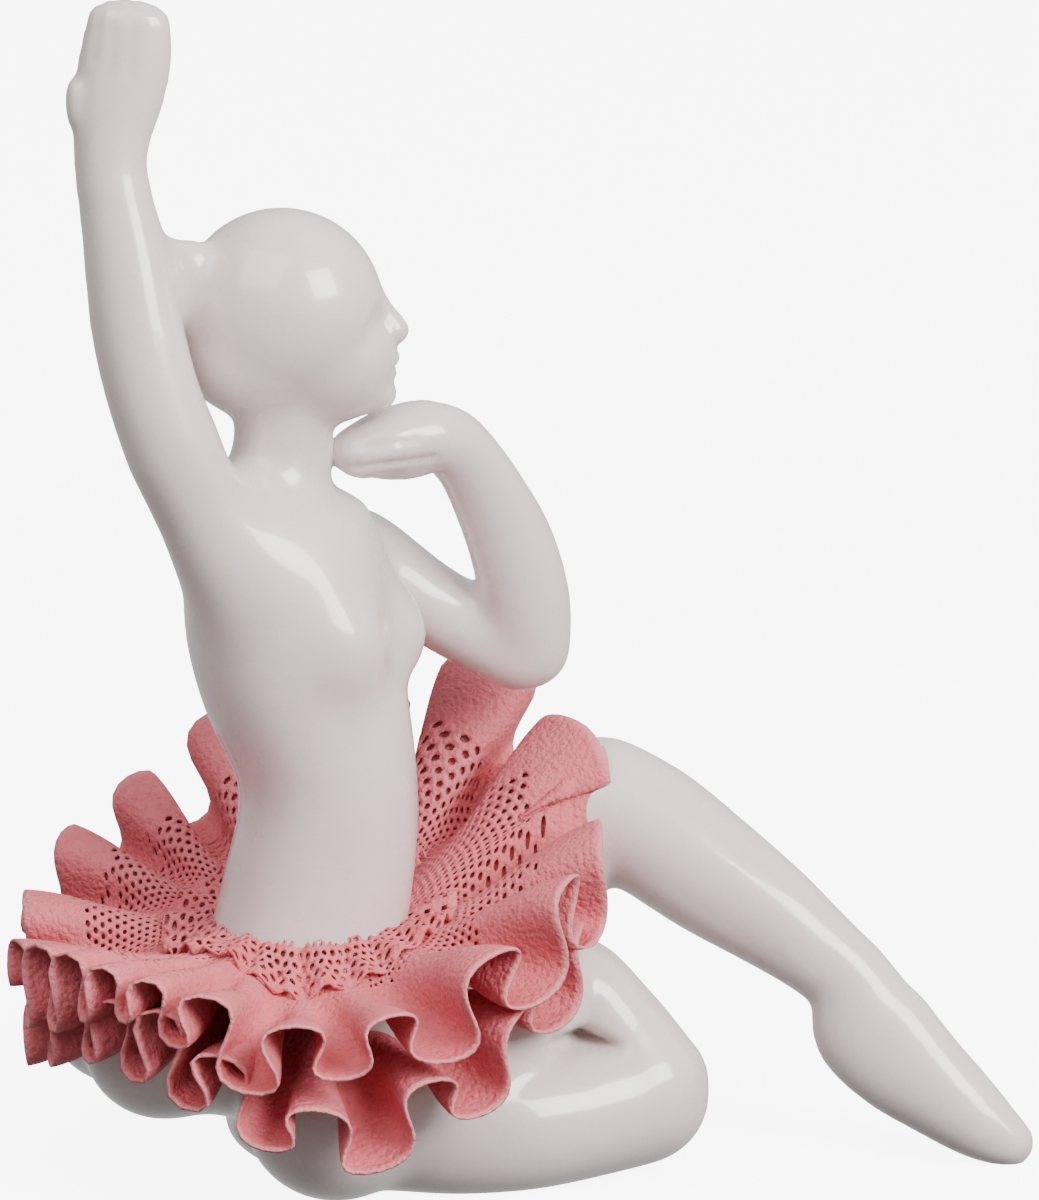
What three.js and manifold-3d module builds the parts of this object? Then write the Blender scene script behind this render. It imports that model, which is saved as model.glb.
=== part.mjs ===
// Seated ballerina figurine: one glazed casting with two gathered ruffles of ceramic lace.
// Millimetres, +Z up. She faces +X. Her right side, with the raised arm, is towards -Y.
// The origin is at the middle of the bounding box, on the surface she sits on.
import * as THREE from 'three';
import { mergeVertices } from 'three/addons/utils/BufferGeometryUtils.js';
import Module from 'manifold-3d';

const wasm = await Module();
wasm.setup();

// Clear gap between the casting and the lace.
const laceGap = 0.3;
// Sides round a limb, and steps between two stations along it, fewer where the stations lie close.
const limbSides = 12;
const armSides = 10;
const limbSteps = 2;
const closeStations = 9;
const capSteps = 2;

// The trunk turns towards -Y by this angle.
const trunkTurn = THREE.MathUtils.degToRad(-18);
const trunkSide = new THREE.Vector3(-Math.sin(trunkTurn), Math.cos(trunkTurn), 0);
const acrossY = new THREE.Vector3(0, 1, 0);
const acrossX = new THREE.Vector3(1, 0, 0);

// Every station is x, y, z, half width across, half depth.
const trunk = [
  [-32.5, 0, 20, 15, 14],
  [-30.3, 0, 32, 14.5, 13.3],
  [-28.5, 0, 41, 13.4, 13],
  [-27, 0, 50, 12.8, 12.4],
  [-27, 0, 57, 12.8, 12.2],
  [-28.4, 0, 64, 13.8, 12.9],
  [-30.8, 0, 72, 15.4, 13.9],
  [-32.4, 0, 81, 17, 14.2],
  [-33.2, 0, 89, 17.4, 13.4],
  [-34.6, 0, 95.5, 15, 10.6],
  [-34, 0, 100, 9, 7.4],
  [-33.4, 0, 104.5, 6.5, 6.5],
  [-32.8, 0, 112, 6.6, 6.7],
];
const raisedArm = [
  [-35, -3, 78, 8, 8],
  [-38.7, -7.6, 87, 8.8, 8.8],
  [-42.6, -10.8, 95, 8, 8],
  [-46.6, -12.6, 103.4, 6.8, 6.8],
  [-51, -12.8, 114.5, 6, 6],
  [-53.4, -11.6, 124.3, 5.8, 5.8],
  [-55, -9.6, 135, 5.4, 5.4],
  [-56.7, -8, 144.8, 4.7, 4.5],
  [-56.7, -7.5, 150.5, 5, 4],
  [-55.8, -7, 156, 5.9, 3.7],
  [-54.7, -6.5, 162, 6.1, 3.2],
  [-54.2, -6.2, 167, 5.5, 2.6],
];
// A bridge of glaze where the raised arm touches the back of the head.
const glazeBridge = [
  [-52, -8, 133, 2.2, 4],
  [-47, -4, 131, 2.2, 4.4],
];
const nearBust = [
  [-33, -6.5, 92, 7, 5],
  [-29.6, -8, 85.5, 7.4, 6.4],
  [-26.8, -8.8, 79, 7.4, 7.6],
  [-25.6, -8.8, 76.6, 7.2, 7.4],
];
const farBust = [
  [-31, 2, 92, 7, 5],
  [-26.4, 3, 85.5, 7.4, 6.4],
  [-22.4, 3.7, 79, 7.6, 8],
  [-20.8, 3.8, 76.4, 7.4, 7.8],
];
const chinThumb = [
  [-11.5, 5, 102.6, 2.4, 2.2],
  [-16, 3, 101.5, 2.1, 2],
  [-20.5, 1.6, 101.7, 1.8, 1.7],
];
const raisedThumb = [
  [-58.5, -7.5, 150, 2.2, 2],
  [-61, -7.8, 154, 1.7, 1.7],
  [-61.4, -7.8, 157.5, 1.4, 1.4],
];
const bentUpperArm = [
  [-29, 12, 86, 8.5, 7.3],
  [-23.5, 16.2, 85.4, 6.6, 6.4],
  [-14, 17.3, 78.6, 5.9, 5.6],
  [-6.2, 17, 74, 5.6, 5.5],
  [0, 16.2, 71.2, 5.7, 5.8],
];
const bentForearm = [
  [1.2, 16.2, 71.6, 5.7, 5.8],
  [0.9, 15, 78.5, 6.1, 6.1],
  [-1, 13.4, 86.8, 5.9, 5.9],
  [-3.8, 11.4, 93.8, 5.3, 5.3],
  [-7.1, 8.9, 100.3, 4.8, 4.7],
  [-10.3, 6.6, 104.2, 4.7, 4.6],
  [-14.5, 4.6, 105.1, 5, 4.6],
  [-19, 2.5, 104.6, 5, 4.2],
  [-22.6, 0.8, 103.6, 4.2, 3.5],
];
const raisedThigh = [
  [-24, 7, 20, 12.5, 12],
  [-12, 11, 26.5, 11, 10.8],
  [0, 15, 36.4, 9.4, 9.2],
  [9.6, 17.8, 47.2, 8.8, 8.7],
  [12.6, 18, 48.4, 8.8, 8.6],
];
const raisedShin = [
  [11.6, 18, 48.6, 9, 9],
  [18.5, 16.6, 44.9, 9, 9.1],
  [27.2, 14, 39, 8.5, 8.5],
  [35.2, 11.5, 33.9, 7.3, 7.4],
  [42.2, 9.5, 28.8, 6, 6.2],
  [46.9, 8.2, 24.7, 5.4, 6],
  [49.6, 7, 18.9, 5.4, 8.2],
  [54.1, 5.6, 14, 5.4, 7.8],
  [59.6, 4.3, 9.6, 5.4, 6.5],
  [65.2, 3.2, 5.3, 4.8, 5.1],
  [69.4, 2.5, 2.6, 3.6, 3.5],
];
const raisedHeel = [
  [46.2, 8, 19.6, 4.2, 4.2],
  [46.6, 7.6, 16.2, 4.5, 4.4],
  [49.6, 7, 13.8, 4.3, 4.2],
];
const foldedThigh = [
  [-26, -13.6, 12.6, 13, 13.3],
  [-13, -9.2, 17.8, 12, 11.8],
  [-1, -3.5, 23.2, 9.8, 9.6],
  [7, 1.8, 25.6, 7.8, 7.6],
  [13, 0.5, 19.6, 8.2, 7.8],
  [17, -1.5, 12.4, 9.6, 9.6],
];
const foldedShin = [
  [16.8, -1.5, 11, 9.8, 9.8],
  [6.5, -6.4, 9.4, 9.6, 9.4],
  [-1.3, -9.6, 9, 9.4, 9.5],
  [-11, -11.2, 8.4, 8.8, 8.9],
  [-20.5, -9.5, 6.8, 7, 7],
  [-29, -4, 5.9, 6.3, 6.4],
  [-35, 5, 5.2, 5.6, 5.4],
  [-37.5, 14, 4, 4.4, 4.2],
];

// Round masses: centre, then half sizes along x, y and z.
const roundMasses = [
  [-33.3, 0, 124.6, 14.3, 12, 14.3],
  [-26.4, 0, 117.6, 8.8, 8.4, 9.1],
  [-20.6, 0, 112.8, 3.2, 3.6, 3],
  [-38, 0, 20, 18, 15, 12],
  [-49.8, -5.4, 19.4, 11.6, 11.6, 10.5],
  [-54.6, 7.6, 20.6, 12.5, 12.2, 10.4],
];
// Nose: a small wedge from the brow to the tip and back to the lip.
const nose = [
  [-20.8, 0, 127, 1.2, 1.2],
  [-19.2, 0, 124, 1.4, 1.5],
  [-17.4, 0, 121.4, 1.9, 1.7],
];

// The two ruffles: folds round the waist, radii, and how deep and how curled the folds are.
const tutuCentre = [-29.7, 0];
const collarRadius = 13;
const laceThickness = 1.3;
// The lower ruffle stays out of the upper one and of this much height above it.
const upperHeadroom = 14;
// Where the edge of the lace stands up or sinks: direction, width in degrees and height.
const swells = [[40, 22, 5.5], [140, 36, 3.5], [228, 26, 4.7], [264, 14, -3], [330, 20, 5.5]];
// Direction in which the folded thigh lifts the lace, and how wide the swelling is.
const foldedThighAt = THREE.MathUtils.degToRad(-10);
const thighSpread = THREE.MathUtils.degToRad(28);
// Direction of the seat, over which the two ruffles lie closer together.
const seatAt = THREE.MathUtils.degToRad(223);
const seatSpread = THREE.MathUtils.degToRad(54);
const upperRuffle = {
  folds: 15, outerRadius: 41.5, collarHeight: 35.5, drop: 0, seatLift: 0, thighLift: 0, wave: 5, curl: 2.3, phase: 0.4,
  rows: 3, perFold: 8, seed: 1.3,
};
const lowerRuffle = {
  folds: 14, outerRadius: 39.5, collarHeight: 28.5, drop: 13.5, seatLift: 7, thighLift: 2, wave: 4.2, curl: 2, phase: 2.5,
  rows: 2, perFold: 8, seed: 4.1,
};

const glaze = new THREE.MeshStandardMaterial({ color: 0xe9e2de, roughness: 0.12, metalness: 0 });
const lace = new THREE.MeshStandardMaterial({ color: 0xd4686f, roughness: 0.85, metalness: 0 });

// A closed mesh as a solid that can be joined and cut.
function toSolid(geometry) {
  const bare = geometry.clone();
  bare.deleteAttribute('normal');
  bare.deleteAttribute('uv');
  const merged = mergeVertices(bare, 1e-4);
  return new wasm.Manifold(new wasm.Mesh({
    numProp: 3,
    vertProperties: new Float32Array(merged.attributes.position.array),
    triVerts: new Uint32Array(merged.index.array),
  }));
}

function toGeometry(solid) {
  const mesh = solid.getMesh();
  const geometry = new THREE.BufferGeometry();
  geometry.setAttribute('position', new THREE.BufferAttribute(mesh.vertProperties, 3));
  geometry.setIndex(new THREE.BufferAttribute(mesh.triVerts, 1));
  geometry.computeVertexNormals();
  return geometry;
}

// Rings of equal length, first and last closed to a pole, as one closed geometry.
function skinRings(rings, firstPole, lastPole) {
  const count = rings[0].length;
  const positions = [firstPole, ...rings.flat(), lastPole].flatMap((p) => [p.x, p.y, p.z]);
  const index = [];
  const last = rings.length * count + 1;
  const at = (ring, i) => 1 + ring * count + (i % count);
  for (let i = 0; i < count; i += 1) {
    index.push(0, at(0, i + 1), at(0, i));
    index.push(last, at(rings.length - 1, i), at(rings.length - 1, i + 1));
    for (let ring = 0; ring < rings.length - 1; ring += 1) {
      index.push(at(ring, i), at(ring, i + 1), at(ring + 1, i + 1));
      index.push(at(ring, i), at(ring + 1, i + 1), at(ring + 1, i));
    }
  }
  const geometry = new THREE.BufferGeometry();
  geometry.setAttribute('position', new THREE.Float32BufferAttribute(positions, 3));
  geometry.setIndex(index);
  return geometry;
}

// A limb through its stations, with oval sections and rounded ends.
function limb(stations, across, sides, grow) {
  const path = new THREE.CatmullRomCurve3(stations.map((s) => new THREE.Vector3(s[0], s[1], s[2])));
  const sizes = new THREE.CatmullRomCurve3(stations.map((s) => new THREE.Vector3(s[3], s[4], 0)));
  const spans = (stations.length - 1) * (stations.length < closeStations ? limbSteps : 1);
  const ringAt = (t, along, scale) => {
    const tangent = path.getTangent(t);
    const centre = path.getPoint(t).addScaledVector(tangent, along);
    const size = sizes.getPoint(t);
    const side = across.clone().addScaledVector(tangent, -across.dot(tangent)).normalize();
    const deep = tangent.clone().cross(side);
    const ring = [];
    for (let i = 0; i < sides; i += 1) {
      const angle = (i / sides) * 2 * Math.PI;
      ring.push(centre.clone()
        .addScaledVector(side, Math.cos(angle) * (size.x + grow) * scale)
        .addScaledVector(deep, Math.sin(angle) * (size.y + grow) * scale));
    }
    return ring;
  };
  const capLength = (t) => Math.min(sizes.getPoint(t).x, sizes.getPoint(t).y) + grow;
  const rings = [];
  for (let k = capSteps - 1; k > 0; k -= 1) {
    const angle = (k / capSteps) * (Math.PI / 2);
    rings.push(ringAt(0, -Math.sin(angle) * capLength(0), Math.cos(angle)));
  }
  for (let i = 0; i <= spans; i += 1) rings.push(ringAt(i / spans, 0, 1));
  for (let k = 1; k < capSteps; k += 1) {
    const angle = (k / capSteps) * (Math.PI / 2);
    rings.push(ringAt(1, Math.sin(angle) * capLength(1), Math.cos(angle)));
  }
  const firstPole = path.getPoint(0).addScaledVector(path.getTangent(0), -capLength(0));
  const lastPole = path.getPoint(1).addScaledVector(path.getTangent(1), capLength(1));
  return toSolid(skinRings(rings, firstPole, lastPole));
}

function roundMass([x, y, z, halfX, halfY, halfZ], grow) {
  const ball = new THREE.SphereGeometry(1, armSides, 7);
  ball.rotateX(Math.PI / 2);
  ball.scale(halfX + grow, halfY + grow, halfZ + grow);
  ball.translate(x, y, z);
  return toSolid(ball);
}

// Everything below the surface she sits on, to be cut away.
function ground() {
  const slab = new THREE.BoxGeometry(400, 400, 100);
  slab.translate(0, 0, -50);
  return toSolid(slab);
}

function dancerSolid(grow) {
  const limbs = [
    [trunk, trunkSide, limbSides], [raisedArm, acrossX, armSides], [raisedThumb, acrossX, 6],
    [glazeBridge, acrossY, 6], [nearBust, trunkSide, armSides], [farBust, trunkSide, armSides],
    [chinThumb, acrossY, 6],
    [bentUpperArm, acrossY, armSides], [bentForearm, acrossY, armSides],
    [raisedThigh, acrossY, limbSides], [raisedShin, acrossY, limbSides], [raisedHeel, acrossY, 8],
    [foldedThigh, acrossY, limbSides], [foldedShin, acrossY, limbSides], [nose, acrossY, 6],
  ];
  const solids = limbs.map(([stations, across, sides]) => limb(stations, across, sides, grow));
  solids.push(...roundMasses.map((mass) => roundMass(mass, grow)));
  return solids.reduce((whole, solid) => whole.add(solid)).subtract(ground());
}

// 1 in one direction round the waist, falling smoothly to 0 beside it.
function bump(angle, middle, spread) {
  const turn = Math.atan2(Math.sin(angle - middle), Math.cos(angle - middle));
  return Math.exp(-((turn / spread) ** 2));
}

// Mean height of the upper ruffle's edge: high over the raised knee and behind, low in front.
function edgeHeight(angle) {
  const once = 7.2 * Math.cos(angle) + 11.8 * Math.sin(angle);
  const twice = -2.2 * Math.cos(2 * angle) + 3.5 * Math.sin(2 * angle);
  const { degToRad } = THREE.MathUtils;
  const swell = swells.map(([at, wide, size]) => size * bump(angle, degToRad(at), degToRad(wide)));
  return swell.reduce((sum, part) => sum + part, 38.6 + once + twice);
}

// A point in the middle of the lace. out runs from 0 at the waist to 1 at the edge.
function rufflePoint(ruffle, angle, out) {
  const { folds, outerRadius, collarHeight, wave, curl, phase, seed } = ruffle;
  const fold = folds * angle + phase + 0.5 * Math.sin(2 * angle + seed) + 0.4 * Math.sin(5 * angle + seed);
  const uneven = 1 + 0.22 * Math.sin(3 * angle + 2 * seed) + 0.16 * Math.sin(7 * angle + seed);
  const open = THREE.MathUtils.smoothstep(out, 0.12, 1);
  const height = wave * uneven * open * Math.sin(fold);
  const swing = (-curl * uneven * open * Math.sin(2 * fold)) / outerRadius;
  const radius = THREE.MathUtils.lerp(collarRadius, outerRadius, out) + 1.2 * open * Math.cos(fold);
  const overThigh = ruffle.thighLift * bump(angle, foldedThighAt, thighSpread) * Math.sin(Math.PI * out);
  const drop = ruffle.drop - ruffle.seatLift * bump(angle, seatAt, seatSpread);
  const climb = edgeHeight(angle) - drop - collarHeight;
  const dip = THREE.MathUtils.smoothstep(-climb, 0, 6);
  const rise = climb * (out + dip * (1 - out - Math.max(1 - out, 0) ** 2.2)) + overThigh;
  return new THREE.Vector3(
    tutuCentre[0] + radius * Math.cos(angle + swing),
    tutuCentre[1] + radius * Math.sin(angle + swing),
    collarHeight + rise + height,
  );
}

function ruffleNormal(ruffle, angle, out) {
  const step = 0.001;
  const round = rufflePoint(ruffle, angle + step, out).sub(rufflePoint(ruffle, angle - step, out));
  const outward = rufflePoint(ruffle, angle, out + step).sub(rufflePoint(ruffle, angle, out - step));
  return outward.cross(round).normalize();
}

// A ruffle as a closed ring: each section runs out along the top and back along the underside.
// It reaches half to each side of the middle of the lace, and headroom higher still on top.
function ruffleSolid(ruffle, half, headroom) {
  const count = ruffle.folds * ruffle.perFold;
  const section = [];
  for (let row = 0; row <= ruffle.rows; row += 1) section.push([row / ruffle.rows, half, headroom]);
  for (let row = ruffle.rows; row >= 0; row -= 1) section.push([row / ruffle.rows, -half, 0]);
  const positions = [];
  const index = [];
  for (let i = 0; i < count; i += 1) {
    const angle = (i / count) * 2 * Math.PI;
    section.forEach(([out, offset, lift]) => {
      const point = rufflePoint(ruffle, angle, out);
      point.addScaledVector(ruffleNormal(ruffle, angle, out), offset);
      positions.push(point.x, point.y, point.z + lift);
    });
  }
  const size = section.length;
  for (let i = 0; i < count; i += 1) {
    const here = i * size;
    const next = ((i + 1) % count) * size;
    for (let j = 0; j < size; j += 1) {
      const k = (j + 1) % size;
      index.push(here + j, here + k, next + k, here + j, next + k, next + j);
    }
  }
  const geometry = new THREE.BufferGeometry();
  geometry.setAttribute('position', new THREE.Float32BufferAttribute(positions, 3));
  geometry.setIndex(index);
  return toSolid(geometry);
}

const dancer = dancerSolid(0);
const clearance = dancerSolid(laceGap).add(dancer);
const halfLace = laceThickness / 2;
const upper = ruffleSolid(upperRuffle, halfLace, 0).subtract(clearance);
const lower = ruffleSolid(lowerRuffle, halfLace, 0)
  .subtract(clearance)
  .subtract(ruffleSolid(upperRuffle, halfLace + laceGap, 0))
  .subtract(ruffleSolid(upperRuffle, 0, upperHeadroom));

function namedMesh(name, solid, material) {
  const mesh = new THREE.Mesh(toGeometry(solid), material);
  mesh.name = name;
  return mesh;
}

const figurine = new THREE.Group();
figurine.add(namedMesh('dancer', dancer, glaze));
figurine.add(namedMesh('tutu_upper_ruffle', upper, lace));
figurine.add(namedMesh('tutu_lower_ruffle', lower, lace.clone()));

const box = new THREE.Box3().setFromObject(figurine);
figurine.position.set(-(box.min.x + box.max.x) / 2, -(box.min.y + box.max.y) / 2, -box.min.z);

export default figurine;
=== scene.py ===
import bpy
import bmesh
import math
from mathutils import Matrix, Vector


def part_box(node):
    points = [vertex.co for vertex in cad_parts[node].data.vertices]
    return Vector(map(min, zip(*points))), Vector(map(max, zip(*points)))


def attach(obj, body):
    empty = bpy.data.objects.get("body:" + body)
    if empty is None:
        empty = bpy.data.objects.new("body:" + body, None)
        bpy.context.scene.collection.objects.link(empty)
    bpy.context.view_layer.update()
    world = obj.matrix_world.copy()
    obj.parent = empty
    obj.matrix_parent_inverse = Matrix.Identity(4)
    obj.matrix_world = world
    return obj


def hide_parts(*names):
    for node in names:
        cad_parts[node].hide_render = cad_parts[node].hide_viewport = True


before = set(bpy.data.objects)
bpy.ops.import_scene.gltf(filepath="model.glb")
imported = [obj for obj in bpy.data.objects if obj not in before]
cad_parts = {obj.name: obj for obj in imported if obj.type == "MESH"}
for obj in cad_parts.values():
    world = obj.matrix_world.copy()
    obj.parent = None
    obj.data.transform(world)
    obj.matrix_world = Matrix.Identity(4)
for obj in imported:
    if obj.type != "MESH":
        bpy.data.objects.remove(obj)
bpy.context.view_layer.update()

mm = 0.001
toeTipX = 72.7          # x of the raised leg's toes in the figure's own millimetres
figureShift = Vector((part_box("dancer")[1].x - toeTipX * mm, 0, 0))
acrossX = Vector((1, 0, 0))
acrossY = Vector((0, 1, 0))


# Reads a smooth value between the stations, like a bent spline held by a modeller's pins.
def smoothAt(stations, place):
    last = len(stations) - 1
    index = min(int(place), last - 1)
    t = place - index
    before = stations[max(index - 1, 0)]
    start = stations[index]
    end = stations[index + 1]
    after = stations[min(index + 2, last)]
    result = []
    for a, b, c, d in zip(before, start, end, after):
        curve = 2 * b + (c - a) * t + (2 * a - 5 * b + 4 * c - d) * t * t + (3 * b - a - 3 * c + d) * t ** 3
        result.append(curve / 2)
    return result


def unit(value, low, high):
    t = min(max((value - low) / (high - low), 0), 1)
    return t * t * (3 - 2 * t)


# One oval ring of a limb: its place, its tangent and its two half sizes.
def limbRing(bm, centre, tangent, across, width, depth, sides):
    side = (across - across.dot(tangent) * tangent).normalized()
    deep = tangent.cross(side)
    turn = Matrix((side, deep, tangent)).transposed().to_4x4()
    size = Matrix.Diagonal((width, depth, 1, 1))
    made = bmesh.ops.create_circle(bm, segments=sides, radius=1,
                                   matrix=Matrix.Translation(centre) @ turn @ size)
    return list({edge for vert in made["verts"] for edge in vert.link_edges})


# A limb through its stations (x, y, z, half width, half depth), in millimetres, with round ends.
def addLimb(target, stations, across, sides, steps=5, capSteps=6):
    nudge = 0.01    # of a station, either way, for the direction that the limb runs in
    bm = bmesh.new()
    rings = []
    last = len(stations) - 1
    places = [last * i / (last * steps) for i in range(last * steps + 1)]
    sections = []
    for place in places:
        x, y, z, width, depth = smoothAt(stations, place)
        ahead = Vector(smoothAt(stations, min(place + nudge, last))[:3])
        behind = Vector(smoothAt(stations, max(place - nudge, 0))[:3])
        sections.append((Vector((x, y, z)), (ahead - behind).normalized(), width, depth))
    first, final = sections[0], sections[-1]
    startCap, endCap = [], []
    capTurn = 0.96 * math.pi / 2    # a little less than a quarter turn, so that the last ring keeps its area
    for k in range(1, capSteps + 1):
        angle = capTurn * k / capSteps
        shrink = math.cos(angle)
        for caps, (centre, tangent, width, depth), way in ((startCap, first, -1), (endCap, final, 1)):
            reach = way * math.sin(angle) * min(width, depth)
            caps.append((centre + tangent * reach, tangent, width * shrink, depth * shrink))
    for centre, tangent, width, depth in startCap[::-1] + sections + endCap:
        rings.append(limbRing(bm, centre, tangent, across, width, depth, sides))
    for ring, following in zip(rings, rings[1:]):
        bmesh.ops.bridge_loops(bm, edges=ring + following)
    bmesh.ops.holes_fill(bm, edges=[edge for edge in bm.edges if edge.is_boundary])
    bmesh.ops.recalc_face_normals(bm, faces=bm.faces)
    part = bpy.data.meshes.new("limb")
    bm.to_mesh(part)
    bm.free()
    target.from_mesh(part)
    bpy.data.meshes.remove(part)


def addMass(target, x, y, z, halfX, halfY, halfZ):
    size = Matrix.Diagonal((halfX, halfY, halfZ, 1))
    bmesh.ops.create_uvsphere(target, u_segments=32, v_segments=20, radius=1,
                              matrix=Matrix.Translation((x, y, z)) @ size)


def newObject(name, mesh):
    piece = bpy.data.objects.new(name, mesh)
    bpy.context.scene.collection.objects.link(piece)
    return piece


# The casting. Limbs are stations (x, y, z, half width, half depth), masses are ovals with half sizes,
# spots are a place and a reach, then passes, presses and the knee gap are ovals and a depth, and
# grooves run from one x and z to another with a width and a depth.

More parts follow.
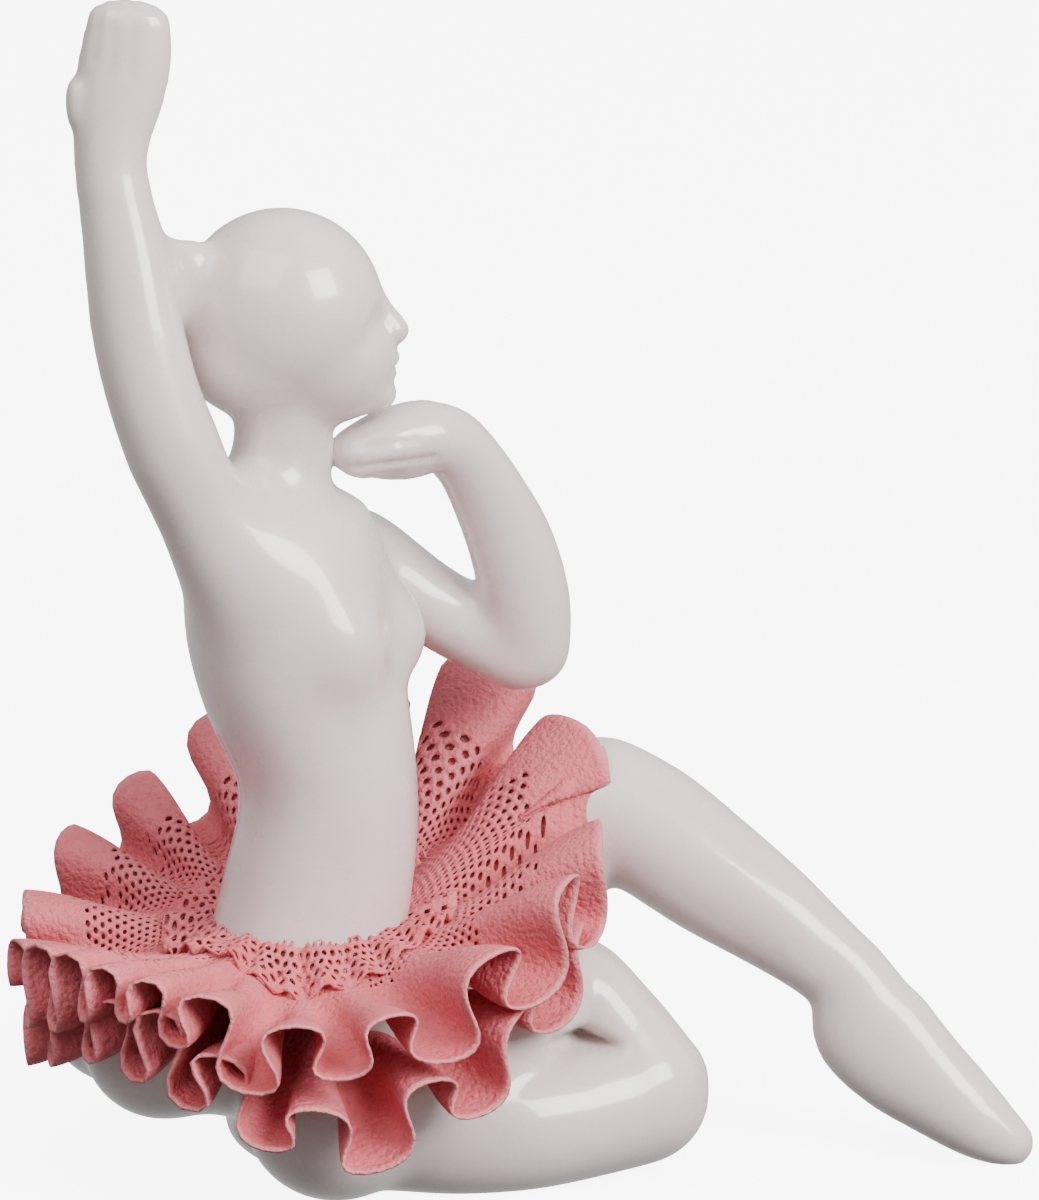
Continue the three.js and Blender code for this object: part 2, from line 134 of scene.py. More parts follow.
dancer = {
    "trunkTurn": math.radians(-18),
    "voxel": 0.68,
    "evenPasses": 20,
    "finePasses": 2,
    "filletPasses": 26,
    "filletSpread": 3,
    "hollowDepth": 0.03,
    "softRings": (1, 0.85, 0.7),
    "regain": 0.42,
    "softSpots": [
        (-39, -14, 91, 19, 240), (-30, 8, 93, 14, 60), (-24, -3, 82, 15, 60), (-40, -6, 26, 24, 40),
        (-25, -10, 71, 11, 60),
    ],
    "fineSpots": [(-17, 0, 119, 9), (-56, -7, 158, 16), (-18, 3, 103, 9), (9, -5, 20, 9)],
    "grooves": [
        (-12, 102.9, -24.5, 102.4, 0.5, 0.6), (-14, 106, -24, 105.2, 0.4, 0.3),
        (-56.8, 160, -56, 171, 0.5, 0.15), (-54.2, 160, -53.4, 171, 0.5, 0.15),
        (-59.2, 162, -58, 170, 0.5, 0.15),
    ],
    "presses": [
        (-20.4, -4.4, 123.6, 3, 2.6, 1.8, 0.8), (-20.4, 4.4, 123.6, 3, 2.6, 1.8, 0.8),
        (-17.2, 0, 116.3, 3, 2.4, 0.55, 0.5), (-17.6, 0, 113.9, 3, 2.6, 0.9, 0.35),
    ],
    "kneeGap": [(5.4, -6, 20.6, 4.4, 8, 1.15, 6.5), (10.4, -6, 19.7, 2.6, 8, 0.7, 4)],
    "trunk": [
        (-32.5, 0, 20, 15, 14), (-30.3, 0, 32, 14.5, 13.3), (-28.5, 0, 41, 13.4, 13),
        (-27, 0, 50, 12.8, 12.4), (-27, 0, 57, 12.8, 12.2), (-28.4, 0, 64, 13.8, 12.9),
        (-30.8, 0, 72, 15.4, 13.9), (-32.4, 0, 81, 17, 14.2), (-33.2, 0, 89, 17.4, 13.4),
        (-34.6, 0, 95.5, 15, 10.6), (-34, 0, 100, 9, 7.4), (-33.4, 0, 104.5, 6.5, 6.5),
        (-32.8, 0, 112, 6.6, 6.7),
    ],
    "raisedArm": [
        (-35, -3, 78, 8, 8), (-38.7, -7.6, 87, 8.8, 8.8), (-42.6, -10.8, 95, 8, 8),
        (-46.6, -12.6, 103.4, 6.8, 6.8), (-50.8, -12.8, 114.5, 6.3, 6.2), (-53.2, -11.6, 124.3, 6.2, 6),
        (-54.9, -9.6, 135, 5.6, 5.5), (-56.7, -8, 144.8, 4.7, 4.5), (-56.7, -7.5, 150.5, 5, 4),
        (-55.8, -7, 156, 5.9, 3.7), (-54.7, -6.5, 162, 6.1, 3.2), (-54.2, -6.2, 167, 5.5, 2.6),
    ],
    "nearBust": [
        (-34, -6.5, 89.5, 6.6, 4), (-29.6, -8, 85.5, 7.4, 6.4), (-26.8, -8.8, 79, 7.4, 7.6),
        (-25.6, -8.8, 76.6, 7.2, 7.4),
    ],
    "farBust": [
        (-32.6, 2, 89.5, 6.6, 4), (-26.4, 3, 85.5, 7.4, 6.4), (-22.4, 3.7, 79, 7.6, 8),
        (-20.8, 3.8, 76.4, 7.4, 7.8),
    ],
    "nose": [(-20.8, 0, 127, 1.2, 1.2), (-19.2, 0, 124, 1.4, 1.5), (-17.4, 0, 121.4, 1.9, 1.7)],
    "chinThumb": [(-11.5, 5, 102.6, 2.4, 2.2), (-16, 3, 101.5, 2.1, 2), (-20.5, 1.6, 101.7, 1.8, 1.7)],
    "raisedThumb": [(-58.5, -7.5, 150, 2.2, 2), (-61, -7.8, 154, 1.7, 1.7), (-61.4, -7.8, 157.5, 1.4, 1.4)],
    "glazeBridge": [
        (-52, -8, 130.5, 2.6, 6.5), (-46, -4, 128.5, 2.6, 7),
    ],
    "bentUpperArm": [
        (-29, 12, 86, 8.5, 7.3), (-23.5, 16.2, 85.4, 6.6, 6.4), (-14, 17.3, 78.6, 5.9, 5.6),
        (-6.2, 17, 74, 5.6, 5.5), (0, 16.2, 71.2, 5.7, 5.8),
    ],
    "bentForearm": [
        (1.2, 16.2, 71.6, 5.7, 5.8), (0.9, 15, 78.5, 6.1, 6.1), (-1, 13.4, 86.8, 5.9, 5.9),
        (-3.8, 11.4, 93.8, 5.3, 5.3), (-7.1, 8.9, 100.3, 4.8, 4.7), (-10.3, 6.6, 104.2, 4.7, 4.6),
        (-14.5, 4.6, 105.1, 5, 4.6), (-19, 2.5, 104.6, 5, 4.2), (-22.6, 0.8, 103.6, 4.2, 3.5),
    ],
    "raisedThigh": [
        (-24, 7, 20, 12.5, 12), (-12, 11, 26.5, 11, 10.8), (0, 15, 36.4, 9.4, 9.2),
        (9.6, 17.8, 47.2, 8.8, 8.7), (12.6, 18, 48.4, 8.8, 8.6),
    ],
    "raisedShin": [
        (11.6, 18, 48.6, 9, 9), (18.5, 16.6, 44.9, 9, 9.1), (27.2, 14, 39, 8.5, 8.5),
        (35.2, 11.5, 33.9, 7.3, 7.4), (42.2, 9.5, 28.8, 6, 6.2), (46.9, 8.2, 24.7, 5.4, 6),
        (49.6, 7, 18.9, 5.4, 8.2), (54.1, 5.6, 14, 5.4, 7.8), (59.6, 4.3, 9.6, 5.4, 6.5),
        (65.2, 3.2, 5.3, 4.8, 5.1), (69.4, 2.5, 2.6, 3.6, 3.5),
    ],
    "raisedHeel": [(46.2, 8, 19.6, 4.2, 4.2), (46.6, 7.6, 16.2, 4.5, 4.4), (49.6, 7, 13.8, 4.3, 4.2)],
    "foldedThigh": [
        (-26, -13.6, 12.6, 13, 13.3), (-13, -9.2, 17.8, 12, 11.8), (-1, -3.5, 23.2, 9.8, 9.6),
        (7, 1.8, 27, 7.8, 6.3), (13.4, 0.5, 19.6, 8, 7.4), (17, -1.5, 12.4, 9.6, 9.6),
    ],
    "foldedShin": [
        (16.8, -1.5, 11, 9.8, 9.8), (6.5, -6.4, 9.4, 9.6, 9.4), (-1.3, -9.6, 9, 9.4, 9.5),
        (-11, -11.2, 8.4, 8.8, 8.9), (-20.5, -9.5, 6.8, 7, 7), (-29, -4, 5.9, 6.3, 6.4),
        (-35, 5, 5.2, 5.6, 5.4), (-37.5, 14, 4, 4.4, 4.2),
    ],
    "masses": [
        (-33.3, 0, 124.6, 14.1, 12, 13.9), (-36, 0, 119.5, 12, 10.4, 10.4), (-26.4, 0, 117.6, 8.8, 8.4, 9.1),
        (-20.6, 0, 112.8, 3.2, 3.6, 3), (-18.6, 0, 117.3, 1.7, 2.6, 1.1), (-18.9, 0, 115.2, 1.6, 2.2, 1.1),
        (-38, 0, 20, 18, 15, 12),
        (-49.8, -5.4, 19.4, 11.6, 11.6, 10.5), (-54.6, 7.6, 20.6, 12.5, 12.2, 10.4),
    ],
}


# A place in the figure's own millimetres, in the row's metres.
def placed(x, y, z):
    return Vector((x, y, z)) * mm + figureShift


# The verts inside an oval, each with its share of a dent: 1 in the middle, next to nothing at the edge.
def inOval(verts, x, y, z, halfX, halfY, halfZ):
    middle = placed(x, y, z)
    for vert in verts:
        away = (vert.co - middle) / mm
        far = (away.x / halfX) ** 2 + (away.y / halfY) ** 2 + (away.z / halfZ) ** 2
        if far < 6:
            yield vert, math.exp(-far)


# Slip rounds every hollow corner, most of all at the shoulders, and leaves the face and hands crisp.
def smoothCasting(mesh, values):
    bm = bmesh.new()
    bm.from_mesh(mesh)

    def relax(verts, times):
        for _ in range(times):
            bmesh.ops.smooth_vert(bm, verts=verts, factor=0.5,
                                  use_axis_x=True, use_axis_y=True, use_axis_z=True)

    fine = set()
    for x, y, z, reach in values["fineSpots"]:
        middle = placed(x, y, z)
        fine |= {vert for vert in bm.verts if (vert.co - middle).length < reach * mm}
    relax(bm.verts, values["finePasses"])
    bm.normal_update()
    hollow = set()
    for vert in bm.verts:
        around = [edge.other_vert(vert).co for edge in vert.link_edges]
        middle = sum(around, Vector()) / len(around)
        if (middle - vert.co).dot(vert.normal) > values["hollowDepth"] * mm:
            hollow.add(vert)
    for _ in range(values["filletSpread"]):
        hollow |= {edge.other_vert(vert) for vert in list(hollow) for edge in vert.link_edges}
    hollow -= fine
    relax(list(hollow), values["filletPasses"])
    for x, y, z, reach, passes in values["softSpots"]:
        middle = placed(x, y, z)
        for share in values["softRings"]:
            near = [vert for vert in bm.verts if (vert.co - middle).length < reach * mm * share]
            relax(near, passes // len(values["softRings"]))
    relax([vert for vert in bm.verts if vert not in fine], values["evenPasses"])
    relax(bm.verts, values["finePasses"])
    bm.normal_update()
    for vert in bm.verts:
        vert.co += vert.normal * values["regain"] * mm
    for *oval, depth in values["presses"]:
        for vert, share in inOval(fine, *oval):
            vert.co -= vert.normal * depth * mm * share
    for *oval, depth in values["kneeGap"]:
        for vert, share in inOval(fine, *oval):
            vert.co.y += depth * mm * share
    for x1, z1, x2, z2, width, depth in values["grooves"]:
        start, end = placed(x1, 0, z1).xz, placed(x2, 0, z2).xz
        for vert in fine:
            along = min(max((vert.co.xz - start).dot(end - start) / (end - start).length_squared, 0), 1)
            far = (vert.co.xz - start.lerp(end, along)).length / (width * mm)
            if far < 2.5:
                vert.co -= vert.normal * depth * mm * math.exp(-far * far)
    bm.to_mesh(mesh)
    bm.free()


# One lump of limbs and masses, made into a single skin, smoothed, and cut flat where it rests.
def castDancer():
    values = dancer
    bm = bmesh.new()
    turn = values["trunkTurn"]
    trunkSide = Vector((-math.sin(turn), math.cos(turn), 0))
    limbs = (
        ("trunk", trunkSide, 40), ("nearBust", trunkSide, 28), ("farBust", trunkSide, 28),
        ("nose", acrossY, 20), ("raisedArm", acrossX, 28), ("raisedThumb", acrossX, 20),
        ("glazeBridge", acrossY, 20),
        ("bentUpperArm", acrossY, 28), ("bentForearm", acrossY, 28), ("chinThumb", acrossY, 20),
        ("raisedThigh", acrossY, 36), ("raisedShin", acrossY, 36), ("raisedHeel", acrossY, 20),
        ("foldedThigh", acrossY, 36), ("foldedShin", acrossY, 36),
    )
    for name, across, sides in limbs:
        addLimb(bm, values[name], across, sides)
    for mass in values["masses"]:
        addMass(bm, *mass)
    bmesh.ops.scale(bm, vec=(mm, mm, mm), verts=bm.verts)
    bmesh.ops.translate(bm, vec=figureShift, verts=bm.verts)
    rough = bpy.data.meshes.new("roughCasting")
    bm.to_mesh(rough)
    bm.free()
    lump = newObject("roughCasting", rough)
    remesh = lump.modifiers.new("remesh", "REMESH")
    remesh.mode = "VOXEL"
    remesh.voxel_size = values["voxel"] * mm
    depsgraph = bpy.context.evaluated_depsgraph_get()
    mesh = bpy.data.meshes.new_from_object(lump.evaluated_get(depsgraph))
    bpy.data.objects.remove(lump)
    mesh.name = "dancer_glazed"
    smoothCasting(mesh, values)
    bm = bmesh.new()
    bm.from_mesh(mesh)
    everything = bm.verts[:] + bm.edges[:] + bm.faces[:]
    bmesh.ops.bisect_plane(bm, geom=everything, plane_co=(0, 0, 0), plane_no=(0, 0, 1), clear_inner=True)
    bmesh.ops.holes_fill(bm, edges=[edge for edge in bm.edges if edge.is_boundary])
    for face in bm.faces:
        face.smooth = len(face.verts) < 5    # all but the flats that it rests on
    bm.to_mesh(mesh)
    bm.free()
    return newObject("dancer_glazed", mesh)


# The lace. Angles run round the waist from the way she faces, and out runs from the waist to the edge.
# Front, left and right are the camera's. Swells are an angle, a spread and a rise of the edge.

tutu = {
    "centre": (-29.7, 0),
    "collarRadius": 13.9,
    "edge": {"height": 38.6, "right": 7.2, "away": 11.8, "ends": -2.2, "corners": 3.5},
    "dipDepth": 6,
    "sway": 1.2, "surgeSway": 3,
    "flatCollar": 0.12,
    "thighAt": math.radians(-10), "thighSpread": math.radians(28),
    "thighStretch": (-0.6, 1.1), "thighFall": 0.8, "restSoftness": 3,
    "seatAt": math.radians(223), "seatSpread": math.radians(54),
    "swells": [(40, 22, 5.5), (140, 36, 3.5), (228, 26, 4.7), (264, 14, -3), (330, 20, 5.5)],
    "tightAt": math.radians(215), "tightFolds": 3,
    "frontAt": math.radians(268), "frontSpread": math.radians(58),
    "surgeAt": math.radians(38), "surgeSpread": math.radians(28),
    "flatAt": math.radians(226), "flatSpread": math.radians(24),
    "gatheredSpan": (math.radians(196), math.radians(258)),
    "laceThickness": 0.68, "webShare": 0.6,
}
# drop and seatLift are below the upper edge and back up over the seat. wave and curl are the height and
# the sideways swing of the folds. surge makes them deeper beside the raised knee, and flat and
# gathered make them lower and add folds at the left front. fall is how soon a falling sheet falls,
# and clearThigh is how far it stays above the raised thigh.
upperRuffle = {
    "folds": 16, "outerRadius": 41.5, "collarHeight": 35.5, "drop": 0, "seatLift": 0, "thighLift": 0,
    "wave": 5.8, "curl": 2.9, "phase": 0.4, "seed": 1.3, "swells": [(45, 24, -2.2), (84, 15, -2.2)],
    "surge": 0.7, "flat": 0.45, "gathered": 2, "fall": 4, "clearThigh": 0.4,
    "holesRound": 186, "rows": 25, "netRows": 19, "thread": 0.295, "rolled": 1, "closeFront": 0.8,
}
lowerRuffle = {
    "folds": 15, "outerRadius": 39.5, "collarHeight": 28.5, "drop": 13.5, "seatLift": 7, "thighLift": 2,
    "wave": 5.3, "curl": 2.6, "phase": 2.5, "seed": 4.1, "swells": [(335, 15, 4), (279, 8, -4)],
    "surge": 0, "flat": 0.3, "gathered": 1, "fall": 1.3, "clearThigh": -8,
    "holesRound": 170, "rows": 22, "netRows": 14, "thread": 0.3, "rolled": 1, "closeFront": 0.8,
}
upperLining = dict(
    upperRuffle, holesRound=120, rows=14, netRows=0, rolled=0, reach=0.85, frontGap=0.75, depth=0.9)
waistFrill = {
    "innerRadius": 13.5, "width": 7.4, "lift": 1, "wave": 0.8, "waveFrom": 14, "waveTo": 20,
    "folds": 26, "phase": 0, "seed": 0, "gathered": 0, "frayIn": 0.25, "frayUp": 0.35,
    "holesRound": 84, "rows": 6, "netRows": 6, "thread": 0.25, "rolled": 0, "closeFront": 0,
}
netCell = {
    "rowHeight": 0.87,      # of a row of hexagons, in widths of a hole
    "push": 0.14,           # makes a brick into a hexagon
    "clogged": 0.16,        # most of the net that slip has filled at its edge, as a share
    "smallest": 0.6,        # a cell under this area is a half at a side, and isn't opened
    "rimFrom": 0.96,
}


# A rounded rise round one angle, 1 in its middle.
def bump(angle, middle, spread):
    turn = math.atan2(math.sin(angle - middle), math.cos(angle - middle))
    return math.exp(-((turn / spread) ** 2))


def swelling(angle, swells):
    return sum(size * bump(angle, math.radians(at), math.radians(wide)) for at, wide, size in swells)


# The edge of the upper ruffle, which rises to the right and away from the camera.
def edgeHeight(angle):
    edge = tutu["edge"]
    once = edge["right"] * math.cos(angle) + edge["away"] * math.sin(angle)
    twice = edge["ends"] * math.cos(2 * angle) + edge["corners"] * math.sin(2 * angle)
    return edge["height"] + once + twice + swelling(angle, tutu["swells"])


# How far through its folds the ruffle is, in radians. Hand gathering is never even.
def foldAt(values, angle):
    seed = values["seed"]
    drift = 0.5 * math.sin(2 * angle + seed) + 0.4 * math.sin(5 * angle + seed)
    gathered = values["gathered"] * 2 * math.pi * unit(angle, *tutu["gatheredSpan"])
    swung = tutu["tightFolds"] * math.sin(angle - tutu["tightAt"])
    return values["folds"] * angle + values["phase"] + drift + swung + gathered


# Height of the gathered sheet before it is folded. Where it falls, it falls soonest at the waist.
def sheetHeight(values, angle, out):
    drop = values["drop"] - values["seatLift"] * bump(angle, tutu["seatAt"], tutu["seatSpread"])
    rise = edgeHeight(angle) + swelling(angle, values["swells"]) - drop - values["collarHeight"]
    dip = unit(-rise, 0, tutu["dipDepth"])
    overThigh = values["thighLift"] * bump(angle, tutu["thighAt"], tutu["thighSpread"])
    overThigh *= math.sin(math.pi * out)
    return values["collarHeight"] + rise * (out + dip * (1 - out - (1 - out) ** values["fall"])) + overThigh


# Top of the raised thigh under a place in the figure's own millimetres, falling off at its sides.
def thighTop(x, y):
    hip, knee = dancer["raisedThigh"][1], dancer["raisedThigh"][3]
    run, rise = knee[0] - hip[0], knee[2] - hip[2]
    low, high = tutu["thighStretch"]
    along = min(max((x - hip[0]) / run, low), high)
    radius = hip[4] + (knee[4] - hip[4]) * along
    beside = ((y - hip[1] - (knee[1] - hip[1]) * along) / radius) ** 2
    upright = radius * math.hypot(run, rise) / run
    crown = math.sqrt(max(1 - beside, 0)) - tutu["thighFall"] * max(beside - 1, 0)
    return hip[2] + rise * along + upright * crown


# A place on the middle of the lace: out runs from 0 at the waist to 1 at the edge.
def rufflePoint(values, angle, out):
    seed = values["seed"]
    fold = foldAt(values, angle)
    uneven = 1 + 0.22 * math.sin(3 * angle + 2 * seed) + 0.16 * math.sin(7 * angle + seed)
    surge = values["surge"] * bump(angle, tutu["surgeAt"], tutu["surgeSpread"])
    flat = values["flat"] * bump(angle, tutu["flatAt"], tutu["flatSpread"])
    uneven += surge - flat
    opened = unit(out, tutu["flatCollar"], 1)
    swing = -values["curl"] * (1 - flat) * uneven * opened * math.sin(2 * fold) / values["outerRadius"]
    radius = tutu["collarRadius"] + (values["outerRadius"] - tutu["collarRadius"]) * out
    radius += (tutu["sway"] + tutu["surgeSway"] * surge) * opened * math.cos(fold)
    height = sheetHeight(values, angle, out) + values["wave"] * uneven * opened * math.sin(fold)
    x = tutu["centre"][0] + radius * math.cos(angle + swing)
    y = tutu["centre"][1] + radius * math.sin(angle + swing)
    above = height - thighTop(x, y) - values["clearThigh"]
    height += (math.sqrt(above * above + tutu["restSoftness"]) - above) / 2
    return placed(x, y, height)


# A second, close layer just under the net, so that the holes of most panels look dark.
def liningPoint(values, angle, out):
    reach = values["reach"] * (1 - values["frontGap"] * bump(angle, tutu["frontAt"], tutu["frontSpread"]))
    out *= reach
    step = 0.003
    here = rufflePoint(values, angle, out)
    around = rufflePoint(values, angle + step, out) - rufflePoint(values, angle - step, out)
    outward = rufflePoint(values, angle, out + step) - rufflePoint(values, angle, max(out - step, 0))
    return here - outward.cross(around).normalized() * values["depth"] * mm


# The frill at the waist, a narrow strip of coarser net laid on the upper ruffle.
def collarPoint(values, angle, out):
    fray = math.sin(17 * angle + 1) + 0.7 * math.sin(29 * angle + 2) + 0.5 * math.sin(47 * angle)
    radius = values["innerRadius"] + values["width"] * out + values["frayIn"] * fray * (1 - out)
    out = max(radius - tutu["collarRadius"], 0) / (upperRuffle["outerRadius"] - tutu["collarRadius"])
    ruffled = values["wave"] * math.sin(values["folds"] * angle + 1.5 * math.sin(3 * angle))
    ruffled *= unit(radius, values["waveFrom"], values["waveTo"])
    height = sheetHeight(upperRuffle, angle, out) + values["lift"] + ruffled + values["frayUp"] * fray
    x = tutu["centre"][0] + radius * math.cos(angle)
    y = tutu["centre"][1] + radius * math.sin(angle)
    return placed(x, y, height)


# Net knitted flat in cells one unit wide, then laid on the ruffle. From netRows outwards it is close.
def addNet(bm, values, place):
    holes = values["holesRound"]
    columns, rows = 2 * holes, values["rows"]
    rowHeight = netCell["rowHeight"]
    netEdge = values["netRows"] * rowHeight
    bmesh.ops.create_grid(bm, x_segments=columns, y_segments=rows, size=0.5)
    for vert in bm.verts:
        vert.co = Vector(((vert.co.x + 0.5) * holes, (vert.co.y + 0.5) * rows * rowHeight, 0))
    # Every second cross edge of a row goes, and the bricks that are left are pushed into hexagons.
    dropped = []
    for edge in bm.edges:
        a, b = edge.verts
        row = int((a.co.y + b.co.y) / 2 / rowHeight)
        column = round(a.co.x * 2)
        upright = abs(a.co.x - b.co.x) < 0.01
        if upright and 0 < column < columns and row < values["netRows"] and (row + column) % 2 == 1:
            dropped.append(edge)
    bmesh.ops.dissolve_edges(bm, edges=dropped, use_verts=False)
    for vert in bm.verts:
        row = round(vert.co.y / rowHeight)
        column = round(vert.co.x * 2)
        if 0 < row < values["netRows"] and 0 < column < columns:
            vert.co.y += -netCell["push"] if (row + column) % 2 == 1 else netCell["push"]
    # The net ends unevenly, where slip has clogged it, and sooner at the front.
    net = []
    for face in bm.faces:
        middle = face.calc_center_median()
        angle = middle.x / holes * 2 * math.pi
        openShare = 1 - values["closeFront"] * bump(angle, tutu["frontAt"], tutu["frontSpread"])
        scatter = math.sin(12.9898 * middle.x + 78.233 * middle.y) * 43758.5453
        filled = (scatter - math.floor(scatter)) * netCell["clogged"] * netEdge
        if middle.y < netEdge * openShare - filled and face.calc_area() > netCell["smallest"]:
            net.append(face)
    if net:
        bmesh.ops.inset_individual(bm, faces=net, thickness=values["thread"])
        bmesh.ops.delete(bm, geom=net, context="FACES")
    uvLayer = bm.loops.layers.uv.new("laceNet")
    rim = bm.verts.layers.float.new("rim")
    litCrest = bm.verts.layers.float.new("litCrest")
    for face in bm.faces:
        face.smooth = True
        for loop in face.loops:
            loop[uvLayer].uv = (loop.vert.co.x, loop.vert.co.y)
    for vert in bm.verts:
        angle, out = vert.co.x / holes * 2 * math.pi, vert.co.y / (rows * rowHeight)
        vert[rim] = unit(out, netCell["rimFrom"], 1) * values["rolled"]
        # How high the fold stands here, 1 on a crest: it paints light on the crests and shade in the troughs.
        vert[litCrest] = 0.5 + 0.5 * math.sin(foldAt(values, angle))
        vert.co = place(values, angle, out)
    bmesh.ops.remove_doubles(bm, verts=bm.verts, dist=0.01 * mm)


# One piece of several sheets of net, each with its own values and its own way of being laid.
def makeRuffle(name, sheets):
    whole = bmesh.new()
    for values, place in sheets:
        bm = bmesh.new()
        addNet(bm, values, place)
        part = bpy.data.meshes.new("net")
        bm.to_mesh(part)
        bm.free()
        whole.from_mesh(part)
        bpy.data.meshes.remove(part)
    mesh = bpy.data.meshes.new(name)
    whole.to_mesh(mesh)
    whole.free()
    piece = newObject(name, mesh)
    group = piece.vertex_groups.new(name="thick")
    rimValues = mesh.attributes["rim"].data
    for index in range(len(mesh.vertices)):
        thick = tutu["webShare"] + (1 - tutu["webShare"]) * rimValues[index].value
        group.add([index], thick, "REPLACE")
    solid = piece.modifiers.new("thickness", "SOLIDIFY")
    solid.thickness = tutu["laceThickness"] * mm
    solid.offset = 0
    solid.vertex_group = "thick"
    print(name, "faces", len(mesh.polygons))
    return piece


# The finishes

class Field:    # a node's output that sums and products can be written with
    def __init__(self, tree, socket):
        self.tree = tree
        self.socket = socket

    def node(self, kind, settings, inputs, output=0):
        made = self.tree.nodes.new(kind)
        for name, value in settings.items():
            setattr(made, name, value)
        for name, value in inputs.items():
            if isinstance(value, Field):
                self.tree.links.new(value.socket, made.inputs[name])
            else:
                made.inputs[name].default_value = value
        return Field(self.tree, made.outputs[output])

    def sum(self, operation, first, second=0.0):
        return self.node("ShaderNodeMath", {"operation": operation}, {0: first, 1: second})

    def fraction(self):
        return self.sum("FRACT", self)

    def __add__(self, other):
        return self.sum("ADD", self, other)

    def __sub__(self, other):
        return self.sum("SUBTRACT", self, other)

    def __rsub__(self, other):
        return self.sum("SUBTRACT", other, self)

    def __mul__(self, other):
        return self.sum("MULTIPLY", self, other)

    def __pow__(self, other):
        return self.sum("POWER", self, other)

    __radd__ = __add__
    __rmul__ = __mul__

    def span(self, low, high):
        return self.node("ShaderNodeMapRange", {}, {"Value": self, "From Min": low, "From Max": high})

    def noise(self, place, scale, detail):
        return self.node("ShaderNodeTexNoise", {}, {"Vector": place, "Scale": scale, "Detail": detail})

    def relief(self, strength, depth):
        return self.node("ShaderNodeBump", {}, {"Strength": strength, "Distance": depth, "Height": self})

    # Sockets 6 and 7 and output 2 are the colours of a Mix node.
    def mix(self, first, second):
        return self.node("ShaderNodeMix", {"data_type": "RGBA"}, {0: self, 6: first, 7: second}, 2)


def newMaterial(name):
    material = bpy.data.materials.new(name)
    material.use_nodes = True
    tree = material.node_tree
    return material, tree, tree.nodes["Principled BSDF"], Field(tree, None)


glazeFinish = {
    "creamDark": (0.64, 0.54, 0.515, 1), "creamPale": (0.72, 0.625, 0.60, 1),
    "cloudScale": 45.0, "fineScale": 260.0, "rippleDepth": 0.0002,
    "roughness": 0.22, "roughnessSpread": 0.12,
    "coat": 0.6, "coatRoughness": 0.05, "ior": 1.5,
}
laceFinish = {
    # The first two colours are painted shade in the fold troughs and painted light on the fold crests.
    # The fourth colour is painted shade in the pits of the close net.
    "valleyShade": (0.58, 0.10, 0.115, 1), "litCrest": (0.60, 0.125, 0.15, 1), "worn": (0.69, 0.19, 0.215, 1),
    "shadedPit": (0.42, 0.05, 0.06, 1), "rim": (0.75, 0.27, 0.285, 1),
    "cloudScale": 160.0, "nubScale": 1150.0, "gritScale": 2600.0, "grainDepth": 0.0003,
    "roughness": 0.75,
}


def glazeMaterial():
    finish = glazeFinish
    material, tree, shader, start = newMaterial("whiteGlaze")
    place = start.node("ShaderNodeTexCoord", {}, {}, "Object")
    clouds = start.noise(place, finish["cloudScale"], 3.0)
    fine = start.noise(place, finish["fineScale"], 2.0)
    colour = clouds.span(0.3, 0.7).mix(finish["creamDark"], finish["creamPale"])
    tree.links.new(colour.socket, shader.inputs["Base Color"])
    rough = finish["roughness"] + finish["roughnessSpread"] * fine
    tree.links.new(rough.socket, shader.inputs["Roughness"])
    ripple = (clouds + 0.25 * fine).relief(0.25, finish["rippleDepth"])
    tree.links.new(ripple.socket, shader.inputs["Normal"])
    shader.inputs["Coat Weight"].default_value = finish["coat"]
    shader.inputs["Coat Roughness"].default_value = finish["coatRoughness"]
    shader.inputs["IOR"].default_value = finish["ior"]
    return material


# Clay-soaked lace: pits of the close net in the outer band, with painted shade in the pits and in the fold
# troughs, painted light on the fold crests, and paler at the rim.
def laceMaterial(name):
    finish = laceFinish
    rowHeight = netCell["rowHeight"]
    material, tree, shader, start = newMaterial(name)
    place = start.node("ShaderNodeTexCoord", {}, {}, "Object")
    rim = start.node("ShaderNodeAttribute", {"attribute_name": "rim"}, {}, 2)
    litCrest = start.node("ShaderNodeAttribute", {"attribute_name": "litCrest"}, {}, 2)
    cells = start.node("ShaderNodeUVMap", {"uv_map": "laceNet"}, {}, 0)
    x = start.node("ShaderNodeSeparateXYZ", {}, {"Vector": cells}, 0)
    y = start.node("ShaderNodeSeparateXYZ", {}, {"Vector": cells}, 1)
    pits = []
    for shift in (0, 0.5):
        acrossCell = (x + shift).fraction() - 0.5
        alongCell = ((y * (0.5 / rowHeight) + shift + 0.25).fraction() - 0.5) * (2 * rowHeight)
        pits.append((acrossCell * acrossCell + alongCell * alongCell) ** 0.5)
    near = start.sum("MINIMUM", pits[0], pits[1])
    shadedPit = 1 - near.span(0.1, 0.3)
    clouds = start.noise(place, finish["cloudScale"], 3.0)
    nubs = start.node("ShaderNodeTexVoronoi", {}, {"Vector": place, "Scale": finish["nubScale"]})
    grit = start.noise(place, finish["gritScale"], 2.0)
    # Painted shade in the fold troughs and painted light on the fold crests, by how high each fold stands.
    body = litCrest.mix(finish["valleyShade"], finish["litCrest"])
    worn = (0.35 * clouds.span(0.35, 0.7)).mix(body, finish["worn"])
    # Painted shade in the pits of the close net, away from the rim.
    pitted = (0.12 * shadedPit * (1 - rim)).mix(worn, finish["shadedPit"])
    edged = (0.55 * rim).mix(pitted, finish["rim"])
    tree.links.new(edged.socket, shader.inputs["Base Color"])
    height = 0.9 * grit + 0.4 * clouds - nubs - 0.25 * shadedPit * (1 - rim)
    grain = height.relief(0.8, finish["grainDepth"])
    tree.links.new(grain.socket, shader.inputs["Normal"])
    shader.inputs["Roughness"].default_value = finish["roughness"]
    return material


dancerPiece = castDancer()
dancerPiece.data.materials.clear()
dancerPiece.data.materials.append(glazeMaterial())
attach(dancerPiece, "root")
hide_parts("dancer")
print("dancer cast", len(dancerPiece.data.polygons))

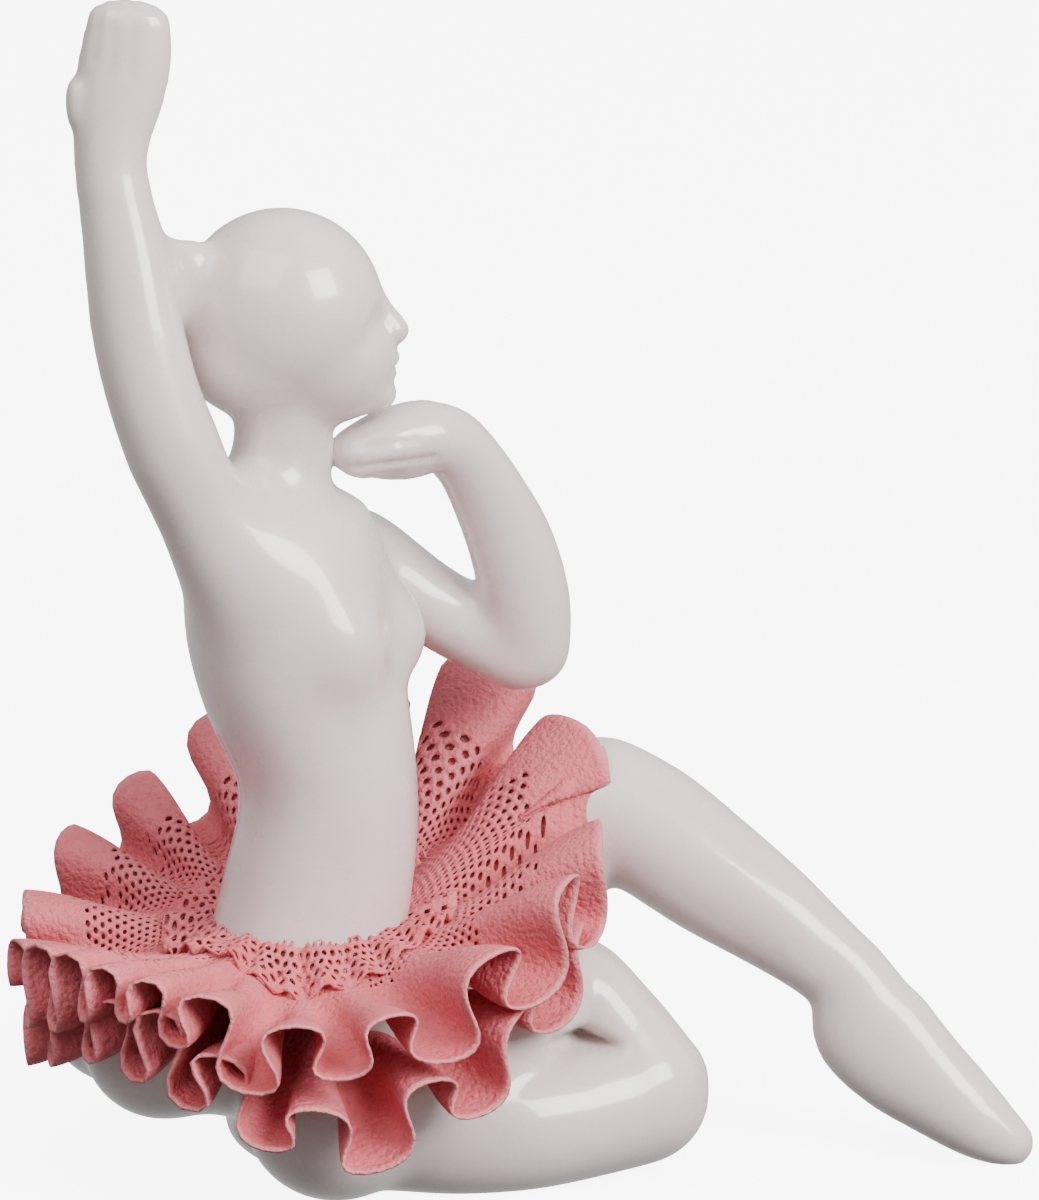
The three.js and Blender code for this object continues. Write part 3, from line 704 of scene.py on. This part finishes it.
tutuPieces = (
    ("upper_lace", "tutu_upper_ruffle",
     ((upperRuffle, rufflePoint), (upperLining, liningPoint), (waistFrill, collarPoint))),
    ("lower_lace", "tutu_lower_ruffle", ((lowerRuffle, rufflePoint),)),
)
for pieceName, node, sheets in tutuPieces:
    ruffle = makeRuffle(pieceName, sheets)
    ruffle.data.materials.append(laceMaterial(pieceName + "_coral"))
    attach(ruffle, "root")
    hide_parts(node)
print("lace gathered")

# The stand, the light and the camera

studio = {
    "distance": 2.4, "elevation": math.radians(14), "target": (0, 0, 82.5),
    "frameHeight": 168.5, "sensor": 24,
    "floorSize": 3, "floorColour": (0.8, 0.8, 0.8, 1), "floorRoughness": 0.7, "floorGlow": 7,
    "skyBase": 0.26, "skyFromBehind": 0.6, "skyFromAbove": 0.6, "skyFromRight": 0.12,
    "lamps": (("high", (-0.32, -0.62, 0.83), 0.75, 7), ("side", (0.7, -0.64, 0.62), 0.55, 23)),
    "lampAim": (0, 0, 0.08),
}


# The floor is as bright as paper but throws no light back up, so the undersides stay shaded.
def makeStudio():
    bm = bmesh.new()
    bmesh.ops.create_grid(bm, x_segments=1, y_segments=1, size=studio["floorSize"])
    floorMesh = bpy.data.meshes.new("floor")
    bm.to_mesh(floorMesh)
    bm.free()
    floor = newObject("floor", floorMesh)
    material, _, shader, _ = newMaterial("paleFloor")
    shader.inputs["Base Color"].default_value = studio["floorColour"]
    shader.inputs["Roughness"].default_value = studio["floorRoughness"]
    shader.inputs["Emission Color"].default_value = (1, 1, 1, 1)
    shader.inputs["Emission Strength"].default_value = studio["floorGlow"]
    floor.data.materials.append(material)
    floor.visible_diffuse = False
    floor.visible_glossy = False
    world = bpy.data.worlds.new("softStudio")
    world.use_nodes = True
    sky = Field(world.node_tree, None)
    backdrop = world.node_tree.nodes["Background"]
    direction = sky.node("ShaderNodeTexCoord", {}, {}, "Generated")
    x = sky.node("ShaderNodeSeparateXYZ", {}, {"Vector": direction}, 0)
    y = sky.node("ShaderNodeSeparateXYZ", {}, {"Vector": direction}, 1)
    z = sky.node("ShaderNodeSeparateXYZ", {}, {"Vector": direction}, 2)
    above = studio["skyFromAbove"] * z.span(0, 1)
    strength = studio["skyBase"] + studio["skyFromBehind"] * y.span(0, 1) + above + studio["skyFromRight"] * x
    backdrop.inputs["Color"].default_value = (1, 1, 1, 1)
    world.node_tree.links.new(strength.socket, backdrop.inputs["Strength"])
    bpy.context.scene.world = world
    for name, place, size, power in studio["lamps"]:
        data = bpy.data.lights.new(name, "AREA")
        data.size = size
        data.energy = power
        lamp = bpy.data.objects.new(name, data)
        lamp.location = place
        lamp.rotation_euler = (Vector(studio["lampAim"]) - Vector(place)).to_track_quat("-Z", "Y").to_euler()
        bpy.context.scene.collection.objects.link(lamp)
    lens = bpy.data.cameras.new("photoView")
    lens.sensor_fit = "VERTICAL"
    lens.sensor_height = studio["sensor"]
    lens.lens = studio["distance"] * studio["sensor"] / (studio["frameHeight"] * mm)
    camera = bpy.data.objects.new("photoView", lens)
    target = Vector(studio["target"]) * mm + figureShift
    back = Vector((0, -math.cos(studio["elevation"]), math.sin(studio["elevation"])))
    camera.location = target + back * studio["distance"]
    camera.rotation_euler = (math.pi / 2 - studio["elevation"], 0, 0)
    bpy.context.scene.collection.objects.link(camera)
    bpy.context.scene.camera = camera


makeStudio()
print("studio ready")
